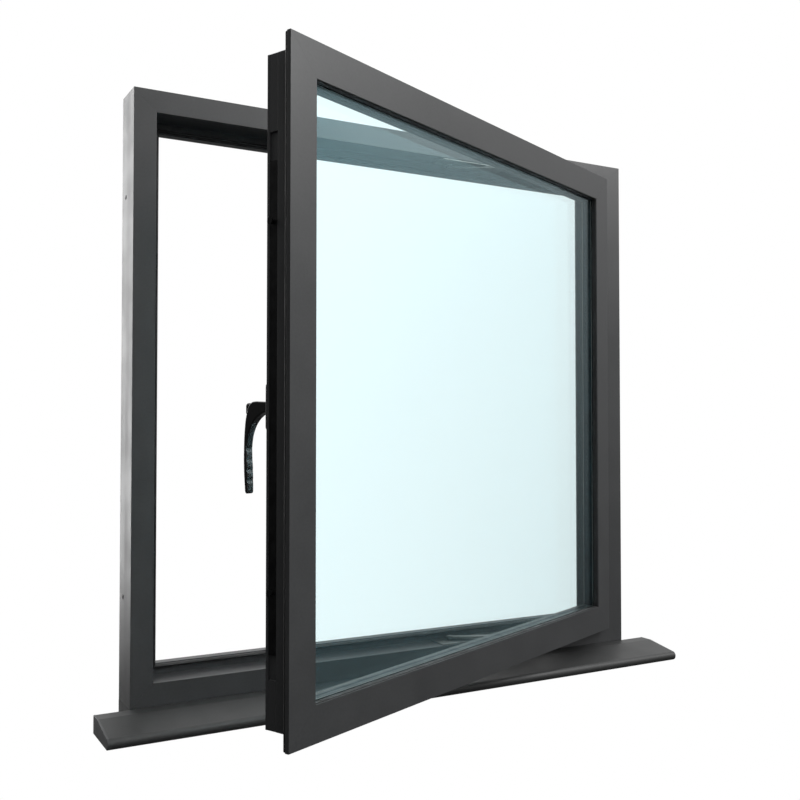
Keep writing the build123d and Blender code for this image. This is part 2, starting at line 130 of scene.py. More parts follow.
def add_node(
    tree: Tree,
    kind: str,
    inputs: dict[str | int, object] | Sequence[object] = (),
    **settings: object,
) -> Node:
    """Adds one node with its settings and its links.

    Args:
        tree: the node tree that gets the node.
        kind: the node's type name.
        inputs: what each input gets, by name, by number or in order: a value, an output socket,
            or a node whose first output is meant.
        settings: the node's own properties.

    Returns:
        The new node.
    """
    node = tree.nodes.new(kind)
    for key, value in settings.items():
        setattr(node, key, value)
    for key, value in inputs.items() if isinstance(inputs, dict) else enumerate(inputs):
        source = value.outputs[0] if isinstance(value, Node) else value
        if isinstance(source, bpy.types.NodeSocket):
            tree.links.new(source, node.inputs[key])
        else:
            node.inputs[key].default_value = source
    return node


def empty_tree(owner: bpy.types.Material | bpy.types.World) -> Tree:
    """Empties a node tree.

    Args:
        owner: the material or the world it belongs to.

    Returns:
        The empty tree.
    """
    owner.use_nodes = True
    owner.node_tree.nodes.clear()
    return owner.node_tree


def add_object(name: str, data: bpy.types.ID) -> Thing:
    """Puts a new object in the scene.

    Args:
        name: its name.
        data: its mesh, curve, lamp or camera.

    Returns:
        The object.
    """
    thing = bpy.data.objects.new(name, data)
    bpy.context.scene.collection.objects.link(thing)
    return thing


def axes(at: Sequence[float], *columns: Sequence[float]) -> Matrix:
    """Gives the place at a point whose x, y and z run along three columns."""
    return Matrix.Translation(Vector(at)) @ Matrix(columns).transposed().to_4x4()


@dataclass(frozen=True)
class Finish:
    """A surface finish: what it is made of, its colours and the sizes of its texture.

    Grain sizes are millimetres. A stretch draws the grain out along one axis.
    """

    name: str
    dark: str
    light: str
    roughness: tuple[float, float] = (0.4, 0.5)
    metallic: float = 0.0
    ior: float = 1.5
    coat: float = 0.0
    coat_roughness: float = 0.1
    mottle: float = 60.0
    grain: float = 2.0
    grain_depth: float = 0.02
    grain_strength: float = 0.2
    stretch: tuple[float, float, float] = (1.0, 1.0, 1.0)

    def noise(self, tree: Tree, size: float, detail: float) -> Node:
        """Gives a noise on the piece's own coordinates, drawn out along the grain.

        Args:
            tree: the material's node tree.
            size: how wide its spots are, in millimetres.
            detail: how many finer layers it has.

        Returns:
            The noise.
        """
        place = add_node(tree, "ShaderNodeTexCoord").outputs["Object"]
        drawn = add_node(tree, "ShaderNodeMapping", {"Vector": place, "Scale": self.stretch})
        inputs = {"Vector": drawn, "Scale": 1 / (size * MM), "Detail": detail, "Roughness": 0.55}
        return add_node(tree, "ShaderNodeTexNoise", inputs)

    def relief(self, tree: Tree, height: Node) -> Node:
        """Gives the fine relief that a height makes."""
        inputs = {"Height": height, "Distance": self.grain_depth * MM}
        return add_node(tree, "ShaderNodeBump", inputs | {"Strength": self.grain_strength})

    def surface(self, tree: Tree) -> Node:
        """Builds the shader.

        Args:
            tree: the material's node tree.

        Returns:
            The shader.
        """
        broad = self.noise(tree, self.mottle, 3.0)
        fine = self.noise(tree, self.grain, 4.0)
        both = add_node(tree, "ShaderNodeMath", (broad, fine), operation="ADD")
        span = (2 * NOISE_LOW, 2 * NOISE_HIGH, 0.0, 1.0)
        share = add_node(tree, "ShaderNodeMapRange", (both, *span))
        # The mix's colour sockets go by number, since its other sockets share their names.
        mixed = {0: share, 6: linear(self.dark), 7: linear(self.light)}
        rough = (broad, NOISE_LOW, NOISE_HIGH, *self.roughness)
        inputs = {
            "Base Color": add_node(tree, "ShaderNodeMix", mixed, data_type="RGBA").outputs[2],
            "Roughness": add_node(tree, "ShaderNodeMapRange", rough),
            "Metallic": self.metallic,
            "IOR": self.ior,
            "Coat Weight": self.coat,
            "Coat Roughness": self.coat_roughness,
            "Normal": self.relief(tree, fine),
        }
        return add_node(tree, "ShaderNodeBsdfPrincipled", inputs)

    def material(self) -> bpy.types.Material:
        """Makes the material of this finish the first time it is asked for.

        Returns:
            The material.
        """
        made = bpy.data.materials.get(self.name)
        if made is None:
            made = bpy.data.materials.new(self.name)
            tree = empty_tree(made)
            add_node(tree, "ShaderNodeOutputMaterial", (self.surface(tree),))
        return made


@dataclass(frozen=True)
class GlassFinish(Finish):
    """Soft coated float glass: light tints what is seen through it, dark tints its mirror image."""

    shade: str = "#f6f6f6"

    def surface(self, tree: Tree) -> Node:
        """Builds glass for sight and a clear pane for lamps.

        Args:
            tree: the material's node tree.

        Returns:
            The shader.
        """
        inputs = {
            "Base Color": linear(self.light),
            "Roughness": 0.0,
            "IOR": self.ior,
            "Transmission Weight": 1.0,
            "Specular Tint": linear(self.dark),
            "Normal": self.relief(tree, self.noise(tree, self.grain, 1.0)),
        }
        sight = add_node(tree, "ShaderNodeBsdfPrincipled", inputs)
        clear = add_node(tree, "ShaderNodeBsdfTransparent", (linear(self.shade),))
        lamps = add_node(tree, "ShaderNodeLightPath").outputs["Is Shadow Ray"]
        return add_node(tree, "ShaderNodeMixShader", (lamps, sight, clear))


# Polyester powder coat: a stoved film with an even satin sheen and a fine orange peel.
POWDER_COAT = Finish(
    "anthracite_polyester_powder_coat", "#343536", "#3b3c3d", (0.36, 0.43),
    mottle=90.0, grain=3.5, grain_depth=0.03, grain_strength=0.12,
)
# The sill is pressed from sheet and coated with the frame. Its coat is painted darker than the
# frame's, as painted shade, and is a little rougher.
SHADED_SILL_COAT = Finish(
    "anthracite_sill_coat_painted_shade", "#282929", "#2e2f2f", (0.48, 0.56),
    mottle=70.0, grain=3.0, grain_depth=0.035, grain_strength=0.14,
)
# The polyamide strips are coated with the shells they join, a touch duller over the fibres.
POLYAMIDE = Finish(
    "powder_coated_polyamide", "#333435", "#3a3b3c", (0.38, 0.46),
    mottle=90.0, grain=2.5, grain_depth=0.03, grain_strength=0.15,
)
# Moulded cap in the coat's colour: a fine spark eroded texture.
CAP_PLASTIC = Finish(
    "moulded_acrylic_cap", "#353637", "#3e3f40", (0.42, 0.52),
    mottle=30.0, grain=1.2, grain_depth=0.03, grain_strength=0.25,
)
# Extruded rubber: matt black with a bloom and a drawn skin.
EPDM = Finish(
    "extruded_epdm_rubber", "#0b0b0b", "#151516", (0.5, 0.68),
    mottle=18.0, grain=1.0, grain_depth=0.04, grain_strength=0.3,
)
# Its soft coat mirrors in a cool blue green.
FLOAT_GLASS = GlassFinish(
    "clear_float_glass", dark="#b0f0ff", light="#f0fdff", ior=1.52,
    grain=400.0, grain_depth=0.01, grain_strength=0.005,
)
BUTYL = Finish("butyl_sealant", "#070707", "#101011", (0.45, 0.65), mottle=12.0, grain=1.6)
# Roll formed spacer: aluminium anodised dark, so it reads as a deep grey line round the glass.
SPACER_METAL = Finish(
    "dark_anodised_aluminium", "#242e31", "#2e393d", (0.3, 0.42), metallic=1.0,
    mottle=20.0, grain=1.2,
)
PACKER = Finish("moulded_polypropylene", "#161617", "#222223", (0.4, 0.5), grain=1.5)
# Saw cut extruded cleats, left as milled.
MILL_METAL = Finish(
    "mill_aluminium", "#8f9193", "#b3b5b6", (0.35, 0.5), metallic=1.0, mottle=25.0, grain=1.0
)
# Strip steel brushed lengthways before it is blanked, so its grain runs along each arm.
STAINLESS = Finish(
    "brushed_stainless_steel", "#6f6e6b", "#8f8e8a", (0.34, 0.46), metallic=1.0,
    mottle=40.0, grain=0.9, grain_strength=0.3, stretch=(0.05, 1.0, 1.0),
)
ZINC = Finish(
    "bright_zinc_plate", "#8d9196", "#b9bdc4", (0.22, 0.36), metallic=1.0, mottle=14.0, grain=0.8
)
# Black passivated zinc: a dark skin over plated steel, with a trace of metal in its sheen.
BLACK_ZINC = Finish(
    "black_passivated_zinc", "#141415", "#222324", (0.32, 0.45), metallic=0.6,
    mottle=16.0, grain=0.8,
)
# Die cast lever: stoved black enamel, smooth and glossy, over slight casting waves.
BLACK_ENAMEL = Finish(
    "stoved_black_enamel", "#0a0a0b", "#101011", (0.14, 0.2), coat=1.0, coat_roughness=0.04,
    mottle=14.0, grain=6.0, grain_depth=0.01, grain_strength=0.03,
)
BUTTON_PLASTIC = Finish(
    "moulded_acetal", "#0c0c0d", "#141415", (0.3, 0.42), mottle=8.0, grain=0.9, grain_strength=0.15
)


# ---------------------------------------------------------------- shapes


class Shape:
    """A closed form shaped with mesh operators, in millimetres."""

    def __init__(self) -> None:
        """Starts an empty form."""
        self.bm = bmesh.new()

    def prism(self, outline: Sequence[Point], plane: Matrix, depth: float) -> Shape:
        """Draws an outline on a plane and extrudes it along the plane's normal.

        Args:
            outline: the corners, in the plane's own x and y.
            plane: where the plane stands.
            depth: how far the outline is drawn out.

        Returns:
            The form itself.
        """
        corners = [self.bm.verts.new(plane @ Vector((x, y, 0.0))) for x, y in outline]
        face = self.bm.faces.new(corners)
        made = bmesh.ops.extrude_face_region(self.bm, geom=[face])
        moved = [g for g in made["geom"] if isinstance(g, bmesh.types.BMVert)]
        bmesh.ops.translate(self.bm, verts=moved, vec=plane.col[2].xyz * depth)
        bmesh.ops.recalc_face_normals(self.bm, faces=self.bm.faces)
        return self

    def cylinder(self, radius: float, depth: float, place: Matrix, segments: int = 32) -> Shape:
        """Adds a closed cylinder about the place's z axis, centred on it."""
        bmesh.ops.create_cone(
            self.bm, cap_ends=True, segments=segments, radius1=radius, radius2=radius,
            depth=depth, matrix=place,
        )
        return self

    def box(self, size: Sequence[float], centre: Sequence[float]) -> Shape:
        """Adds a closed box."""
        place = Matrix.Translation(Vector(centre)) @ Matrix.Diagonal((*size, 1.0))
        bmesh.ops.create_cube(self.bm, size=1.0, matrix=place)
        return self

    def spun(self, profile: Sequence[Point], place: Matrix, steps: int = 32) -> Shape:
        """Turns a profile of radius and height about the place's z axis.

        Args:
            profile: radius and height of each corner, starting and ending on the axis.
            place: where the axis stands.
            steps: how many steps the turn takes.

        Returns:
            The form itself.
        """
        corners = [self.bm.verts.new((r, 0.0, h)) for r, h in profile]
        edges = [self.bm.edges.new(pair) for pair in zip(corners, corners[1:])]
        bmesh.ops.spin(
            self.bm, geom=corners + edges, cent=(0, 0, 0), axis=(0, 0, 1), angle=math.tau,
            steps=steps, use_merge=True,
        )
        bmesh.ops.remove_doubles(self.bm, verts=self.bm.verts, dist=WELD)
        bmesh.ops.recalc_face_normals(self.bm, faces=self.bm.faces)
        bmesh.ops.transform(self.bm, matrix=place, verts=self.bm.verts)
        return self

    def trim(self, point: Vector, away: Vector) -> Shape:
        """Cuts off what lies past a plane and closes the cut.

        Args:
            point: a point on the plane.
            away: the way to what is cut off.

        Returns:
            The form itself.
        """
        geom = [*self.bm.verts, *self.bm.edges, *self.bm.faces]
        cut = bmesh.ops.bisect_plane(
            self.bm, geom=geom, dist=1e-5, plane_co=point, plane_no=away, clear_outer=True
        )
        rim = [g for g in cut["geom_cut"] if isinstance(g, Edge)]
        bmesh.ops.holes_fill(self.bm, edges=rim, sides=0)
        bmesh.ops.recalc_face_normals(self.bm, faces=self.bm.faces)
        return self

    def soften(
        self,
        width: float,
        segments: int = 2,
        chosen: Callable[[Edge], bool] = lambda edge: True,
    ) -> Shape:
        """Rounds the outer edges that chosen picks, or every one.

        Args:
            width: how far the rounding reaches along each face.
            segments: how many facets it has.
            chosen: says which edges are rounded.

        Returns:
            The form itself.
        """
        self.bm.normal_update()
        edges = [
            e
            for e in self.bm.edges
            if len(e.link_faces) == 2
            and e.calc_face_angle_signed(0.0) > SOFT_ANGLE
            and chosen(e)
        ]
        bmesh.ops.bevel(
            self.bm, geom=edges, offset=width, offset_type="OFFSET", segments=segments,
            profile=0.5, affect="EDGES", clamp_overlap=True, material=-1,
        )
        return self

    def loose(self, name: str) -> Thing:
        """Gives a copy of the form as an object of its own, for a modifier to work on.

        Args:
            name: the object's name.

        Returns:
            The object.
        """
        mesh = bpy.data.meshes.new(name)
        self.bm.to_mesh(mesh)
        return add_object(name, mesh)

    def combine(self, other: Shape, how: Join) -> Shape:
        """Joins another closed form to this one, or cuts it away.

        Args:
            other: the other form, which is used up.
            how: whether it is joined or cut away.

        Returns:
            The form itself.
        """
        ours, theirs = self.loose("joining"), other.loose("joined")
        step = ours.modifiers.new("join", "BOOLEAN")
        step.operation = how.value
        step.solver = "EXACT"
        step.object = theirs
        bpy.context.view_layer.update()
        done = ours.evaluated_get(bpy.context.evaluated_depsgraph_get())
        mesh = bpy.data.meshes.new_from_object(done)
        self.bm.clear()
        self.bm.from_mesh(mesh)
        for thing in (ours, theirs):
            old = thing.data
            bpy.data.objects.remove(thing)
            bpy.data.meshes.remove(old)
        bpy.data.meshes.remove(mesh)
        other.bm.free()
        bmesh.ops.remove_doubles(self.bm, verts=self.bm.verts, dist=WELD)
        return self

    def absorb(self, other: Shape) -> Shape:
        """Takes in another form that doesn't touch this one.

        Args:
            other: the other form, which is used up.

        Returns:
            The form itself.
        """
        mesh = bpy.data.meshes.new("taken_in")
        other.bm.to_mesh(mesh)
        self.bm.from_mesh(mesh)
        bpy.data.meshes.remove(mesh)
        other.bm.free()
        return self

    def piece(
        self,
        name: str,
        finish: Finish,
        nodes: Sequence[str],
        place: Matrix | None = None,
        crease: float = 38.0,
        added: bool = False,
    ) -> None:
        """Turns the form into a finished piece that stands for its CAD nodes.

        Args:
            name: the piece's name.
            finish: its finish.
            nodes: the CAD nodes it stands for, all on one body. The first gives its body; its slot
                is looked up but not used.
            place: where the form goes, in millimetres, if it was shaped elsewhere.
            crease: the angle past which an edge stays crisp.
            added: whether it only goes with its nodes, which then stay.
        """
        body, slot = BODY_OF[nodes[0]], SLOT_OF[nodes[0]]
        bmesh.ops.remove_doubles(self.bm, verts=self.bm.verts, dist=WELD)
        bmesh.ops.recalc_face_normals(self.bm, faces=self.bm.faces)
        where = Matrix.Scale(MM, 4) @ (place or Matrix.Identity(4))
        bmesh.ops.transform(self.bm, matrix=where, verts=self.bm.verts)
        mesh = bpy.data.meshes.new(name)
        self.bm.to_mesh(mesh)
        self.bm.free()
        mesh.shade_smooth()
        mesh.set_sharp_from_angle(angle=math.radians(crease))
        mesh.materials.append(finish.material())
        thing = add_object(name, mesh)
        weigh = thing.modifiers.new("even_faces", "WEIGHTED_NORMAL")
        weigh.keep_sharp = True
        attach(thing, body)
        if not added:
            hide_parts(*nodes)
        LOG.info("%s: %d faces on %s, in %s", name, len(mesh.polygons), body, finish.name)


def slot_outline(width: float, length: float, steps: int = 12) -> list[Point]:
    """Gives an upright round ended outline centred on the origin.

    Args:
        width: its width, which is also its ends' diameter.
        length: its overall height.
        steps: facets in each end.

    Returns:
        The outline's corners, anticlockwise.
    """
    radius, reach = width / 2, (length - width) / 2
    turns = [math.pi * i / steps for i in range(steps + 1)]
    upper = [(radius * math.cos(t), reach + radius * math.sin(t)) for t in turns]
    lower = [(-radius * math.cos(t), -reach - radius * math.sin(t)) for t in turns]
    return upper + lower


def smooth_line(points: Iterable[Point], resolution: int = 6) -> list[Point]:
    """Draws one smooth line through points.

    Args:
        points: the points it passes through.
        resolution: how many steps each span takes.

    Returns:
        The points along the line.
    """
    points = list(points)
    curve = bpy.data.curves.new("line", "CURVE")
    curve.dimensions = "3D"
    curve.resolution_u = resolution
    spline = curve.splines.new("BEZIER")
    spline.bezier_points.add(len(points) - 1)
    for knot, (x, y) in zip(spline.bezier_points, points):
        knot.co = (x, y, 0.0)
        knot.handle_left_type = knot.handle_right_type = "AUTO"
    thing = add_object("line", curve)
    bpy.context.view_layer.update()
    mesh = bpy.data.meshes.new_from_object(thing)
    line = [(v.co.x, v.co.y) for v in mesh.vertices]
    bpy.data.objects.remove(thing)
    bpy.data.curves.remove(curve)
    bpy.data.meshes.remove(mesh)
    return line


@dataclass(frozen=True)
class Ring:
    """An upright rectangular ring whose sides meet in mitres."""

    width: float
    height: float
    bottom: float
    front: float
    joint: float = 0.06

    def plane(self, side: Side) -> tuple[Matrix, float]:
        """Gives a side's section plane and length.

        Args:
            side: which side.

        Returns:
            The plane and the length. The plane's x runs inwards, y into the building and z along.
        """
        top, half = self.bottom + self.height, self.width / 2
        corner, inward, length = {
            Side.BOTTOM: ((half, self.front, self.bottom), (0, 0, 1), self.width),
            Side.RIGHT: ((half, self.front, top), (-1, 0, 0), self.height),
            Side.TOP: ((-half, self.front, top), (0, 0, -1), self.width),
            Side.LEFT: ((-half, self.front, self.bottom), (1, 0, 0), self.height),
        }[side]
        run = Vector(inward).cross(Vector((0, 1, 0)))
        return axes(corner, inward, (0, 1, 0), run), length

    def bar(
        self,
        side: Side,
        outline: Sequence[Point],
        arris: float,
        segments: int = 2,
        butted: float = math.inf,
    ) -> Shape:
        """Makes one mitred side, its long edges rounded and its ends a hair short of the mitres.

        Args:
            side: which side.
            outline: the section, x inwards and y into the building.
            arris: how far the long edges are rounded.
            segments: facets in each rounded edge.
            butted: a depth in the section where another part butts flush, so edges stay square.

        Returns:
            The side.
        """
        plane, length = self.plane(side)
        inward, run = plane.col[0].xyz, plane.col[2].xyz
        start = plane.translation
        bar = Shape().prism(outline, plane, length)
        bar.trim(start + run * self.joint, inward - run)
        bar.trim(start + run * (length - self.joint), inward + run)
        square = self.front + butted
        return bar.soften(
            arris, segments, lambda e: _along(e, run) and abs(e.verts[0].co.y - square) > NEAR
        )

    def loop(self, outline: Sequence[Point], arris: float, segments: int = 2) -> Shape:
        """Makes all four sides as one form.

        Args:
            outline: the section, x inwards and y into the building.
            arris: how far the long edges are rounded.
            segments: facets in each rounded edge.

        Returns:
            The ring.
        """
        whole = Shape()
        for side in Side:
            whole.absorb(self.bar(side, outline, arris, segments))
        return whole


def _along(edge: Edge, run: Vector) -> bool:
    """Says whether an edge runs along a direction."""
    span = edge.verts[1].co - edge.verts[0].co
    return span.length > TINY and abs(span.normalized().dot(run)) > STRAIGHT


def _flush(edge: Edge, axis: int, *levels: float) -> bool:
    """Says whether an edge lies at one of the levels on an axis."""
    return any(all(abs(v.co[axis] - level) < NEAR for v in edge.verts) for level in levels)


# ---------------------------------------------------------------- the window's sub-assemblies


@dataclass
class OuterFrame:
    """The fixed frame: two coated shells a side, polyamide strips between them, and its gasket."""

    width: float = 1000.0
    height: float = 972.0
    bottom: float = 28.0
    depth: float = 72.0
    face: float = 36.0
    leg_rise: float = 18.0
    leg_depth: float = 18.0
    outer_depth: float = 22.0
    inner_start: float = 42.0
    arris: float = 0.7
    gasket_arris: float = 0.15
    fixing_radius: float = 4.0
    fixing_spread: float = 640.0

    def __post_init__(self) -> None:
        """Sets out the ring."""
        self.ring = Ring(self.width, self.height, self.bottom, 0.0)
        self.leg_start = self.depth - self.leg_depth
        self.leg_edge = self.face + self.leg_rise

    def outer_section(self) -> list[Point]:
        """Outline of the outer shell."""
        return [(0, 0), (self.face, 0), (self.face, self.outer_depth), (0, self.outer_depth)]

    def inner_section(self) -> list[Point]:
        """Outline of the inner shell with its leg."""
        return [
            (0, self.inner_start), (self.face, self.inner_start), (self.face, self.leg_start),
            (self.leg_edge, self.leg_start), (self.leg_edge, self.depth), (0, self.depth),
        ]

    def gasket_section(self) -> list[Point]:
        """Outline of the rebate gasket, a bulb on a foot."""
        heel, foot, tip = self.leg_edge - 7.0, self.leg_start - 0.2, self.leg_start - 8.7
        return smooth_line(
            [
                (heel + 0.5, foot), (heel + 0.2, foot - 3.0), (heel + 0.8, foot - 6.6),
                (heel + 3.0, tip), (heel + 5.2, foot - 6.6), (heel + 5.8, foot - 3.0),
                (heel + 5.5, foot),
            ],
            3,
        )

    def drill(self, bar: Shape, side: Side) -> Shape:
        """Drills the wall fixing holes through a jamb.

        Args:
            bar: the jamb's inner shell.
            side: which jamb.

        Returns:
            The drilled shell.
        """
        middle_x = (self.face - self.width) / 2 * (1 if side is Side.LEFT else -1)
        middle_z = self.bottom + self.height / 2
        depth = (self.inner_start + self.leg_start) / 2
        across = Matrix.Rotation(math.pi / 2, 4, "Y")
        for shift in (-self.fixing_spread / 2, self.fixing_spread / 2):
            place = Matrix.Translation((middle_x, depth, middle_z + shift)) @ across
            hole = Shape().cylinder(self.fixing_radius, self.face + OVERCUT, place)
            bar.combine(hole, Join.DIFFERENCE)
        return bar

    def build(self) -> None:
        """Makes the frame's pieces, a shell on each face of every side and then the gasket."""
        for side in Side:
            part = f"frame_{side.value}"
            outer = self.ring.bar(side, self.outer_section(), self.arris, butted=self.outer_depth)
            outer.piece(f"{part}_outer_profile", POWDER_COAT, [f"{part}_outer_shell"])
            inner = self.ring.bar(side, self.inner_section(), self.arris, butted=self.inner_start)
            if side in (Side.LEFT, Side.RIGHT):
                inner = self.drill(inner, side)
            inner.piece(f"{part}_inner_profile", POWDER_COAT, [f"{part}_inner_shell"])
        gasket = self.ring.loop(self.gasket_section(), self.gasket_arris, 1)
        gasket.piece("frame_rebate_gasket", EPDM, ["frame_inner_gasket"], crease=RUBBER_CREASE)


@dataclass
class OnSash:
    """What is shaped on the closed sash, and then goes to its resting place."""

    place: Matrix


@dataclass
class Sash(OnSash):
    """The opening sash: flanged coated shells, glazing beads and gaskets."""

    width: float = 938.0
    height: float = 910.0
    bottom: float = 59.0
    front: float = -12.0
    face: float = 50.0
    flange: float = 7.0
    reach: float = 16.4
    box_edge: float = 39.4
    shell_depth: float = 20.0
    inner_start: float = 34.0
    depth: float = 57.0
    groove_low: float = 38.5
    groove_high: float = 52.5
    groove_depth: float = 3.4
    glass_front: float = 9.5
    glass_back: float = 37.5
    bead_front: float = 40.5
    bead_edge: float = 48.0
    bead_back: float = 56.0
    rail_low: float = 140.0
    rail_high: float = 850.0
    arris: float = 0.6
    bead_arris: float = 0.5
    seal_arris: float = 0.1
    glazing_arris: float = 0.3
    wedge_arris: float = 0.25
    cover_arris: float = 0.2
    cover_gap: float = 0.1

    def __post_init__(self) -> None:
        """Sets out the ring."""
        self.ring = Ring(self.width, self.height, self.bottom, self.front)

    def outer_section(self) -> list[Point]:
        """Outline of the outer shell: the flange in front of its box."""
        return [
            (0, 0), (self.face, 0), (self.face, self.flange), (self.box_edge, self.flange),
            (self.box_edge, self.shell_depth), (self.reach, self.shell_depth),
            (self.reach, self.flange), (0, self.flange),
        ]

    def inner_section(self) -> list[Point]:
        """Outline of the inner shell with its hardware groove."""
        floor = self.reach + self.groove_depth
        return [
            (self.reach, self.inner_start), (self.box_edge, self.inner_start),
            (self.box_edge, self.depth), (self.reach, self.depth), (self.reach, self.groove_high),
            (floor, self.groove_high), (floor, self.groove_low), (self.reach, self.groove_low),
        ]

    def cover_section(self) -> list[Point]:
        """Outline of the strip that closes the hardware groove where nothing runs in it."""
        skin, floor = self.reach + self.cover_gap, self.reach + self.groove_depth - self.cover_gap
        low, high = self.groove_low + self.cover_gap, self.groove_high - self.cover_gap
        return [(skin, low), (floor, low), (floor, high), (skin, high)]

    def groove_covers(self) -> Shape:
        """Makes the groove's cover strips, left out where the lock's rail slides.

        Returns:
            The strips.
        """
        covers = Shape()
        for side in (Side.BOTTOM, Side.RIGHT, Side.TOP):
            covers.absorb(self.ring.bar(side, self.cover_section(), self.cover_arris, 1))
        for level, away in ((self.rail_low, 1.0), (self.rail_high, -1.0)):
            end = self.ring.bar(Side.LEFT, self.cover_section(), self.cover_arris, 1)
            covers.absorb(end.trim(Vector((0.0, 0.0, level)), Vector((0.0, 0.0, away))))
        return covers

    def bead_section(self) -> list[Point]:
        """Outline of the glazing bead, sloped towards the glass."""
        return [
            (self.box_edge, self.bead_front), (self.bead_edge, self.bead_front),
            (self.bead_edge, self.bead_front + 6.5), (self.bead_edge - 1.4, self.bead_back - 3.2),
            (self.bead_edge - 4.0, self.bead_back), (self.box_edge, self.bead_back),
        ]

    def flange_seal_section(self) -> list[Point]:
        """Outline of the flange seal, a soft half round that meets the frame."""
        rising = [(0.9, 7.0), (0.85, 8.6), (1.4, 10.6), (2.6, 11.6)]
        return smooth_line([*rising, (3.8, 10.6), (4.35, 8.6), (4.3, 7.0)], 3)

    def glazing_seal_section(self) -> list[Point]:
        """Outline of the outer glazing gasket with the lip that shows beside the flange."""
        face, lip = self.face, self.face + 1.5
        return [
            (face - 5, self.flange), (face, self.flange), (face, 1.7), (face + 0.7, 1.6),
            (lip, 3.4), (lip, self.glass_front), (face - 5, self.glass_front),
        ]

    def wedge_section(self) -> list[Point]:
        """Outline of the wedge gasket between glass and bead."""
        return [
            (44.0, self.glass_back), (49.0, self.glass_back), (48.9, self.glass_back + 1.2),
            (48.0, self.bead_front), (44.0, self.bead_front),
        ]

    def build(self) -> None:
        """Makes the sash's pieces."""
        for side in Side:
            part = f"sash_{side.value}"
            outer = self.ring.bar(side, self.outer_section(), self.arris, butted=self.shell_depth)
            outer.piece(f"{part}_outer_profile", POWDER_COAT, [f"{part}_outer_shell"], self.place)
            inner = self.ring.bar(side, self.inner_section(), self.arris, butted=self.inner_start)
            inner.piece(f"{part}_inner_profile", POWDER_COAT, [f"{part}_inner_shell"], self.place)
            bead = self.ring.bar(side, self.bead_section(), self.bead_arris)
            node = f"glazing_bead_{side.value}"
            bead.piece(f"bead_{side.value}", POWDER_COAT, [node], self.place)
        seal = self.ring.loop(self.flange_seal_section(), self.seal_arris, 1)
        seal.piece("sash_flange_seal", EPDM, ["sash_flange_gasket"], self.place, RUBBER_CREASE)
        glazing = self.ring.loop(self.glazing_seal_section(), self.glazing_arris)
        glazing.piece("outer_glazing_seal", EPDM, ["outer_glazing_gasket"], self.place)
        covers = self.groove_covers()
        strips = ["sash_thermal_break"]
        covers.piece("sash_groove_covers", POLYAMIDE, strips, self.place, added=True)
        wedge = self.ring.loop(self.wedge_section(), self.wedge_arris)
        wedge.piece("wedge_glazing_seal", EPDM, ["wedge_glazing_gasket"], self.place)


@dataclass
class GlassUnit(OnSash):
    """The sealed double glazed unit: two panes, spacer bar and edge seal."""

    width: float = 853.2
    height: float = 825.2
    bottom: float = 101.4
    front: float = -2.5
    pane: float = 4.0
    cavity: float = 20.0
    arris: float = 0.45
    seal: float = 3.0
    bar: float = 6.5
    film: float = 1.2
    film_depth: float = 0.12
    film_gap: float = 0.05
    film_arris: float = 0.03
    spacer_arris: float = 0.3

    def sheet(self, front: float) -> Shape:
        """Makes one pane with its edges arrissed."""
        centre = (0.0, front + self.pane / 2, self.bottom + self.height / 2)
        return Shape().box((self.width, self.pane, self.height), centre).soften(self.arris, 1)

    def spacer_section(self) -> list[Point]:
        """Outline of the roll formed spacer, with a shallow channel along its inner face."""
        low, high, middle = self.seal, self.seal + self.bar, self.cavity / 2
        return [
            (low, 1.2), (low + 1.2, 0.0), (high, 0.0), (high, middle - 3.0),
            (high - 0.5, middle - 2.2), (high - 0.5, middle + 2.2), (high, middle + 3.0),
            (high, self.cavity), (low + 1.2, self.cavity), (low, self.cavity - 1.2),
        ]

    def film_section(self, start: float) -> list[Point]:
        """Outline of the bright steel film that shows along one edge of the spacer."""
        low, high = self.seal + self.bar, self.seal + self.bar + self.film_depth
        return [(low, start), (high, start), (high, start + self.film), (low, start + self.film)]

    def build(self) -> None:
        """Makes the unit's pieces."""
        inner = self.front + self.pane + self.cavity
        for name, front in (("outer", self.front), ("inner", inner)):
            pane = self.sheet(front)
            pane.piece(f"{name}_pane", FLOAT_GLASS, [f"{name}_glass_pane"], self.place, crease=20.0)
        ring = Ring(self.width, self.height, self.bottom, self.front + self.pane)
        spacer = ring.loop(self.spacer_section(), self.spacer_arris)
        spacer.piece("spacer_bar", SPACER_METAL, ["glass_spacer_bar"], self.place)
        film = Shape()
        for start in (self.film_gap, self.cavity - self.film - self.film_gap):
            film.absorb(ring.loop(self.film_section(start), self.film_arris, 1))
        film.piece("spacer_film", STAINLESS, ["glass_spacer_bar"], self.place, added=True)


